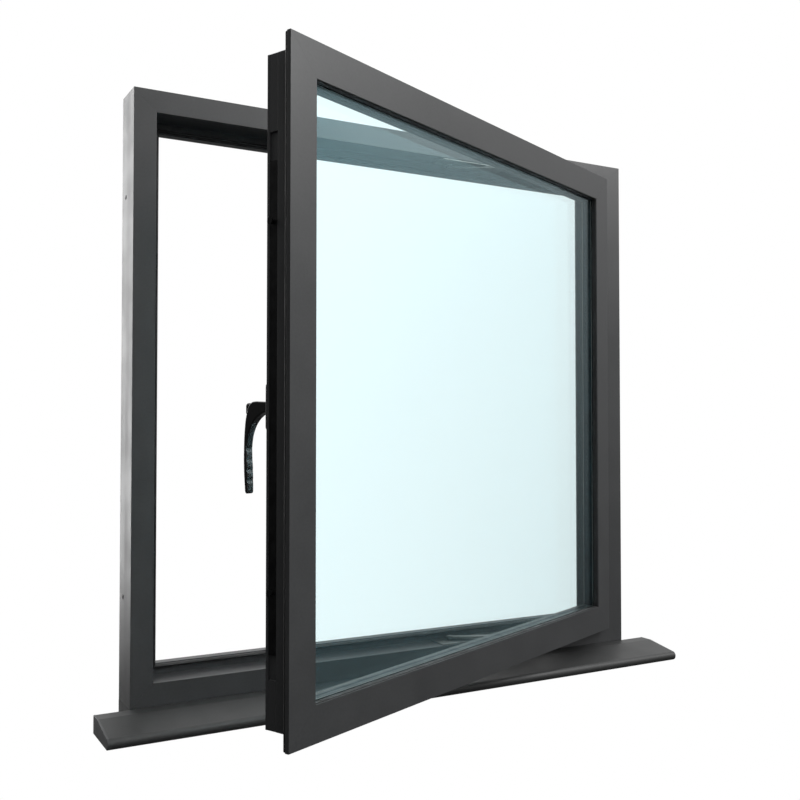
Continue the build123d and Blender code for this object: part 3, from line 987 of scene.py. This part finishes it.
@dataclass
class Sill:
    """The projecting sill with its horns, rounded nose, drip groove and end caps."""

    frame_width: float = 1000.0
    horn: float = 55.0
    height: float = 28.0
    projection: float = 96.0
    flat: float = 26.0
    nose: float = 17.0
    frame_depth: float = 72.0
    cap: float = 3.0
    arris: float = 1.0
    cap_arris: float = 0.9
    nose_steps: int = 24
    drip_setback: float = 9.0
    drip_depth: float = 2.0
    drip_width: float = 3.0
    lap: float = 2.0

    def __post_init__(self) -> None:
        """Sets out the ends."""
        self.half = self.frame_width / 2 + self.horn

    def section(self) -> list[Point]:
        """Sets out the projecting front with its rounded nose and drip groove.

        Returns:
            The outline's corners, y into the building and z up.
        """
        radius = self.nose / 2
        middle = radius - self.projection
        turns = [math.radians(90 + 180 * i / self.nose_steps) for i in range(self.nose_steps + 1)]
        arc = [(middle + radius * math.cos(t), radius + radius * math.sin(t)) for t in turns]
        near, top = middle + self.drip_setback, self.drip_depth
        far = near + self.drip_width
        groove = [(near, 0.0), (near, top), (far, top), (far, 0.0)]
        return [(0.0, 0.0), (0.0, self.height), (-self.flat, self.height), *arc, *groove]

    def across(self, x: float) -> Matrix:
        """Gives the section plane that faces +X at x."""
        return axes((x, 0.0, 0.0), (0, 1, 0), (0, 0, 1), (1, 0, 0))

    def build(self) -> None:
        """Makes the sill, whose front and back are joined, and its caps."""
        length = 2 * (self.half - self.cap)
        sill = Shape().prism(self.section(), self.across(-length / 2), length)
        size = (self.frame_width, self.frame_depth + self.lap, self.height)
        back = Shape().box(size, (0.0, (self.frame_depth - self.lap) / 2, self.height / 2))
        sill.combine(back, Join.UNION)
        sill.soften(self.arris, 2, lambda e: _along(e, Vector((1.0, 0.0, 0.0))))
        # The sill's coat is painted darker than the frame's, as painted shade.
        sill.piece("sill_pressing", SHADED_SILL_COAT, ["sill"], crease=9.0)
        inside = self.half - self.cap
        for name, start, outer in (("left", -self.half, -self.half), ("right", inside, self.half)):
            cap = Shape().prism(self.section(), self.across(start), self.cap)
            cap.soften(self.cap_arris, 2, lambda e, outer=outer: _flush(e, 0, outer))
            cap.piece(f"sill_cap_{name}", CAP_PLASTIC, [f"sill_end_cap_{name}"], crease=24.0)


@dataclass
class Handle(OnSash):
    """The lever handle: base plate, cranked lever with finger scallops, and push button."""

    lock_x: float = -436.0
    room_face: float = 45.0
    height: float = 492.0
    base_length: float = 66.0
    base_width: float = 15.0
    base_height: float = 12.0
    base_corner: float = 7.0
    base_round: float = 3.0
    lever_width: float = 12.0
    lever_round: float = 2.4
    boss_radius: float = 5.5
    boss_depth: float = 5.0
    boss_sunk: float = 2.0
    run_gap: float = 0.3
    scallop_radius: float = 8.0
    scallop_depth: float = 1.4
    button_width: float = 8.4
    button_length: float = 16.5
    button_drop: float = 3.0
    button_setback: float = 20.0
    button_height: float = 16.0
    button_travel: float = 3.0
    button_round: float = 2.6
    grip: tuple[Point, ...] = (
        (0, 6.6), (10, 7.0), (20, 7.3), (26.5, 6.0), (30.5, 2.2), (33.6, -4), (36.6, -13),
        (39.3, -32.5), (40.5, -57.5), (40.2, -84.5), (38.4, -109),
    )
    grip_end: tuple[Point, ...] = ((37.6, -114), (35.4, -115.8), (33.2, -114.8))
    grip_inner: tuple[Point, ...] = (
        (32.4, -111), (32.6, -98), (33.2, -80), (34.4, -63), (33.8, -48), (29.5, -32), (21, -19),
        (11, -11.5), (0, -6.5),
    )
    scallops: tuple[Point, ...] = ((34.3, -56), (33.6, -70), (32.8, -84), (32.6, -98))

    def __post_init__(self) -> None:
        """Sets out the faces."""
        self.base_face = self.room_face + self.base_height
        self.lever_seat = self.base_face + self.run_gap

    def upright(self, depth: float, drop: float = 0.0) -> Matrix:
        """Gives the plane that faces the room at a depth, its x along the sash and y up."""
        return axes((self.lock_x, depth, self.height - drop), (-1, 0, 0), (0, 0, 1), (0, 1, 0))

    def sideways(self, x: float) -> Matrix:
        """Gives the plane at x that faces +X, its x into the room and y up, from the seat."""
        return axes((x, self.lever_seat, self.height), (0, 1, 0), (0, 0, 1), (1, 0, 0))

    def base(self) -> Shape:
        """Makes the base: a rounded plate with a soft rim and a seat for the lever's boss.

        Returns:
            The base.
        """
        x, y = self.base_width / 2, self.base_length / 2
        outline = [(-x, -y), (x, -y), (x, y), (-x, y)]
        plate = Shape().prism(outline, self.upright(self.room_face), self.base_height)
        plate.soften(self.base_corner, 7, lambda e: _along(e, Vector((0, 1, 0))))
        plate.soften(self.base_round, 4, lambda e: _flush(e, 1, self.base_face))
        radius, depth = self.boss_radius + self.run_gap, 2 * (self.boss_depth + self.run_gap)
        seat = Shape().cylinder(radius, depth, self.upright(self.base_face), 40)
        return plate.combine(seat, Join.DIFFERENCE)

    def lever(self) -> Shape:
        """Makes the lever: rounded all along, scalloped for the fingers and slotted for its button.

        Returns:
            The lever.
        """
        outline = (
            smooth_line(self.grip)
            + smooth_line([self.grip[-1], *self.grip_end, self.grip_inner[0]], 4)[1:-1]
            + smooth_line(self.grip_inner)
        )
        left = self.lock_x - self.lever_width / 2
        right = left + self.lever_width
        body = Shape().prism(outline, self.sideways(left), self.lever_width)
        body.soften(self.lever_round, 4, lambda e: _flush(e, 0, left, right))
        sunk = self.scallop_depth - self.scallop_radius
        for y, z in self.scallops:
            place = self.sideways(self.lock_x) @ Matrix.Translation((y + sunk, z, 0.0))
            finger = Shape().cylinder(self.scallop_radius, self.lever_width + OVERCUT, place, 64)
            body.combine(finger, Join.DIFFERENCE)
        foot = self.upright(self.lever_seat + (self.boss_sunk - self.boss_depth) / 2)
        boss = Shape().cylinder(self.boss_radius, self.boss_depth + self.boss_sunk, foot, 40)
        body.combine(boss, Join.UNION)
        gap = 2 * self.run_gap
        bore = slot_outline(self.button_width + gap, self.button_length + gap)
        floor = self.upright(self.base_face + self.button_setback, self.button_drop)
        return body.combine(Shape().prism(bore, floor, 2 * self.button_height), Join.DIFFERENCE)

    def button(self) -> Shape:
        """Makes the push button with its pillowed face.

        Returns:
            The button.
        """
        start = self.base_face + self.button_setback + self.button_travel + self.run_gap
        end = start + self.button_height
        outline = slot_outline(self.button_width, self.button_length)
        button = Shape().prism(outline, self.upright(start, self.button_drop), self.button_height)
        return button.soften(self.button_round, 5, lambda e: _flush(e, 1, end))

    def build(self) -> None:
        """Makes the handle's pieces."""
        for shape, name, finish, node in (
            (self.base(), "handle_base_plate", BLACK_ENAMEL, "handle_base"),
            (self.lever(), "lever", BLACK_ENAMEL, "handle_lever"),
            (self.button(), "button", BUTTON_PLASTIC, "push_button"),
        ):
            shape.piece(name, finish, [node], self.place, crease=32.0)


@dataclass
class Fasteners(OnSash):
    """Pan head screws with cross recesses, in the stay tracks, the keeps and the sash bars."""

    head_radius: float = 3.6
    head_height: float = 0.8
    shank_radius: float = 1.9
    shank: float = 2.0
    recess: float = 2.1
    slot: float = 0.8
    track_spots: tuple[Point, ...] = ((79.1, 25.0), (146.1, 40.0), (200.3, 38.0))
    track_heights: tuple[Point, ...] = ((962.0, -1.0), (66.0, 1.0))
    keep_x: float = -462.0
    keep_y: float = 31.5
    keep_heights: tuple[float, ...] = (229.0, 293.0, 709.0, 773.0)
    bar_heights: tuple[Point, ...] = ((954.6, 1.0), (73.4, -1.0))

    def screw(self, spot: Sequence[float], direction: Vector) -> Shape:
        """Makes one screw whose head stands on spot and points along direction.

        Args:
            spot: where the underside of the head rests.
            direction: the way the head faces.

        Returns:
            The screw.
        """
        r, h = self.head_radius, self.head_height
        profile = (
            (0.0, -self.shank), (self.shank_radius, -self.shank), (self.shank_radius, 0.0),
            (r, 0.0), (r * 0.97, h * 0.35), (r * 0.82, h * 0.8), (r * 0.6, h), (0.0, h),
        )
        turn = direction.to_track_quat("Z", "Y").to_matrix().to_4x4()
        screw = Shape().spun(profile, Matrix.Identity(4), 28)
        long, thin, tall = 2 * self.recess, self.slot, 2 * h
        cross = Shape().box((long, thin, tall), (0, 0, h * 1.35))
        cross.combine(Shape().box((thin, long, tall), (0, 0, h * 1.35)), Join.UNION)
        screw.combine(cross, Join.DIFFERENCE)
        place = Matrix.Translation(Vector(spot)) @ turn
        bmesh.ops.transform(screw.bm, matrix=place, verts=screw.bm.verts)
        return screw

    def build(self, bar_spots: Sequence[Point]) -> None:
        """Makes both sets of screws.

        Args:
            bar_spots: where the sash bars are screwed, on the closed sash.
        """
        fixed = Shape()
        for x, y in self.track_spots:
            for z, way in self.track_heights:
                # Turned round from the opposite way, which sets how the cross lies.
                fixed.absorb(self.screw((x, y, z), -Vector((0, 0, -way))))
        for z in self.keep_heights:
            fixed.absorb(self.screw((self.keep_x, self.keep_y, z), Vector((1, 0, 0))))
        fixed.piece("frame_screws", STAINLESS, ["frame_hardware_screws"], crease=30.0)
        moving = Shape()
        for x, y in bar_spots:
            for z, way in self.bar_heights:
                moving.absorb(self.screw((x, y, z), Vector((0, 0, way))))
        moving.piece("sash_screws", STAINLESS, ["sash_bar_screws"], self.place, crease=30.0)


@dataclass
class Hardware:
    """The CAD pieces whose shape is right: stays, lock, keeps, cleats, strips and packers."""

    edge: float = 0.3
    edge_angle: float = 35.0
    weld: float = 0.01

    def finishes(self) -> dict[str, Finish]:
        """Gives the finish of each kept CAD node."""
        chosen = {
            "frame_thermal_break": POLYAMIDE,
            "sash_thermal_break": POLYAMIDE,
            "frame_corner_cleats": MILL_METAL,
            "sash_corner_cleats": MILL_METAL,
            "glass_edge_seal": BUTYL,
            "setting_blocks": PACKER,
            "lock_drive_rail": BLACK_ZINC,
            "lock_cams": BLACK_ZINC,
            "lower_keep": BLACK_ZINC,
            "upper_keep": BLACK_ZINC,
            "lock_gearbox": ZINC,
            "handle_spindle": ZINC,
        }
        for level in ("upper", "lower"):
            for part in ("track", "arm", "link", "sash_bar", "track_rivets", "bar_rivets"):
                chosen[f"{level}_stay_{part}"] = STAINLESS
        return chosen

    def build(self) -> None:
        """Dresses the kept nodes, and takes the sharpness off the edges of all but the polyamide
        strips.
        """
        for name, finish in self.finishes().items():
            node = frame["nodes"][name]
            node.data.materials.clear()
            node.data.materials.append(finish.material())
            LOG.info("%s: kept, dressed in %s", name, finish.name)
            if finish is POLYAMIDE:
                continue
            weld = node.modifiers.new("weld", "WELD")
            weld.merge_threshold = self.weld * MM
            bevel = node.modifiers.new("edges", "BEVEL")
            bevel.width = self.edge * MM
            bevel.segments = 2
            bevel.limit_method = "ANGLE"
            bevel.angle_limit = math.radians(self.edge_angle)


# ---------------------------------------------------------------- the studio


@dataclass
class Studio:
    """A plain white studio: pale floor, soft lamps and the camera."""

    camera_at: tuple[float, float, float] = (-0.87842, -1.52322, 0.46753)
    yaw: float = 29.375
    pitch: float = 1.487
    lens: float = 43.73
    sensor: float = 36.0
    floor_drop: float = 0.9
    floor_size: float = 60.0
    sky_top: float = 1.15
    sky_low: float = 0.08
    left_dim: float = 0.12
    right_dim: float = 0.55
    backing: float = 0.2

    def floor(self) -> None:
        """Lays the pale floor, which only the camera sees."""
        bm = bmesh.new()
        bmesh.ops.create_grid(bm, x_segments=2, y_segments=2, size=self.floor_size / 2)
        bmesh.ops.translate(bm, verts=bm.verts, vec=(0, 0, CAD_BOX[0].z - self.floor_drop))
        mesh = bpy.data.meshes.new("floor")
        bm.to_mesh(mesh)
        bm.free()
        paper = bpy.data.materials.new("pale_studio_paper")
        tree = empty_tree(paper)
        shader = add_node(tree, "ShaderNodeEmission", (linear("#ffffff"), 1.0))
        add_node(tree, "ShaderNodeOutputMaterial", (shader,))
        mesh.materials.append(paper)
        floor = add_object("floor", mesh)
        floor.visible_diffuse = False
        floor.visible_glossy = False
        floor.visible_transmission = False
        floor.visible_shadow = False

    def dome(self, tree: Tree) -> Node:
        """Grades the dome: bright above, dim to the left and below, and dimmed at the far right.

        Args:
            tree: the world's node tree.

        Returns:
            The dome's strength.
        """
        way = add_node(tree, "ShaderNodeTexCoord").outputs["Generated"]
        parts = add_node(tree, "ShaderNodeSeparateXYZ", (way,)).outputs
        strength = 1.0
        for axis, *span in (
            ("Z", -0.35, 0.5, self.sky_low, self.sky_top),
            ("X", -0.85, -0.3, self.left_dim, 1.0),
            ("X", 0.92, 0.99, 1.0, self.right_dim),
        ):
            inputs = (parts[axis], *span)
            fade = add_node(tree, "ShaderNodeMapRange", inputs, interpolation_type="SMOOTHSTEP")
            strength = add_node(tree, "ShaderNodeMath", (strength, fade), operation="MULTIPLY")
        return strength

    def sky(self) -> None:
        """Lights the studio from the dome and shows plain white behind the window.

        Sight that goes straight through the glass meets a slightly brighter white, to make up for
        what the panes take away. Sight that bounced off a dull surface, or once off a glossy one,
        does not.
        """
        world = bpy.data.worlds.new("studio")
        bpy.context.scene.world = world
        tree = empty_tree(world)
        path = add_node(tree, "ShaderNodeLightPath").outputs
        kind = "ShaderNodeMath"
        mirrored = add_node(tree, kind, (path["Glossy Depth"], 1.0, 0.5), operation="COMPARE")
        turns = add_node(tree, kind, (path["Diffuse Depth"], mirrored), operation="ADD")
        straight = add_node(tree, kind, (turns, 0.5), operation="LESS_THAN")
        through = (path["Is Transmission Ray"], straight)
        through = add_node(tree, kind, through, operation="MULTIPLY")
        seen = add_node(tree, kind, (path["Is Camera Ray"], through), operation="MAXIMUM")
        plain = add_node(tree, "ShaderNodeMapRange", (seen, 0.0, 1.0, self.dome(tree), 1.0))
        strength = (through, self.backing, plain)
        strength = add_node(tree, kind, strength, operation="MULTIPLY_ADD")
        light = add_node(tree, "ShaderNodeBackground", (linear("#ffffff"), strength))
        add_node(tree, "ShaderNodeOutputWorld", (light,))

    def lamp(
        self,
        name: str,
        at: Sequence[float],
        aim: Sequence[float],
        size: tuple[float, float],
        power: float,
    ) -> None:
        """Hangs one soft lamp, unseen itself.

        Args:
            name: the lamp's name.
            at: where it hangs, in metres.
            aim: the point it faces.
            size: its width and height, in metres.
            power: its power, in watts.
        """
        data = bpy.data.lights.new(name, "AREA")
        data.shape = "RECTANGLE"
        data.size, data.size_y = size
        data.energy = power
        lamp = add_object(name, data)
        lamp.location = at
        lamp.rotation_euler = (Vector(aim) - Vector(at)).to_track_quat("-Z", "Y").to_euler()
        lamp.visible_camera = False
        lamp.visible_transmission = False

    def camera(self) -> None:
        """Sets up the camera."""
        data = bpy.data.cameras.new("camera")
        data.lens = self.lens
        data.sensor_width = self.sensor
        camera = add_object("camera", data)
        camera.location = self.camera_at
        camera.rotation_euler = (math.radians(90 + self.pitch), 0.0, math.radians(-self.yaw))
        bpy.context.scene.camera = camera

    def build(self) -> None:
        """Makes the studio."""
        bpy.context.scene.view_settings.view_transform = "Standard"
        self.floor()
        self.sky()
        self.lamp("key_lamp", (1.9, -2.1, 2.6), (0.0, 0.0, 0.6), (1.8, 1.8), 70.0)
        self.lamp("rim_lamp", (-1.94, 5.8, 1.3), (-0.5, 0.04, 0.9), (1.4, 4.6), 92.0)
        self.camera()


@dataclass(frozen=True)
class Hinge:
    """Where the friction stays put the sash at rest."""

    arm_pivot: Point = (101.1, 34.0)
    arm_length: float = 192.5
    arm_closed: float = 0.49
    angle: float = 24.0
    link_foot: Point = (166.3, 9.1)
    link_length: float = 144.8
    link_closed: float = -3.84
    link_ratio: float = 1.2138
    screw_steps: tuple[float, ...] = (40.0, 90.0)
    screw_depth: float = 20.0

    def far_end(self, pivot: Point, length: float, turned: float) -> Vector:
        """Works out where the far end of an arm is.

        Args:
            pivot: where the arm is pinned.
            length: how long it is.
            turned: how far it has turned from +X towards the outside, in degrees.

        Returns:
            The far end.
        """
        turned = math.radians(turned)
        x, y = pivot[0] + length * math.cos(turned), pivot[1] - length * math.sin(turned)
        return Vector((x, y, 0.0))

    def sash_place(self) -> Matrix:
        """Works out the transform from the closed sash to its resting place.

        Returns:
            The transform.
        """
        start = self.far_end(self.arm_pivot, self.arm_length, self.arm_closed)
        end = self.far_end(self.arm_pivot, self.arm_length, self.arm_closed + self.angle)
        turn = Matrix.Rotation(math.radians(self.angle), 4, "Z")
        return Matrix.Translation(end) @ turn @ Matrix.Translation(-start)

    def bar_spots(self) -> list[Point]:
        """Works out the sash bars' screw spots.

        Returns:
            The spots, on the closed sash.
        """
        turned = self.link_closed + self.link_ratio * self.angle
        rest = self.far_end(self.link_foot, self.link_length, turned)
        foot = self.sash_place().inverted() @ rest
        return [(foot.x + step, self.screw_depth) for step in self.screw_steps]


def main() -> None:
    """Builds the window on its frame, in order."""
    logging.basicConfig(level=logging.INFO, format="%(name)s %(message)s")
    hinge = Hinge()
    place = hinge.sash_place()
    Studio().build()
    OuterFrame().build()
    Sash(place).build()
    GlassUnit(place).build()
    Sill().build()
    Handle(place).build()
    Fasteners(place).build(hinge.bar_spots())
    Hardware().build()


if __name__ == "__main__":
    main()
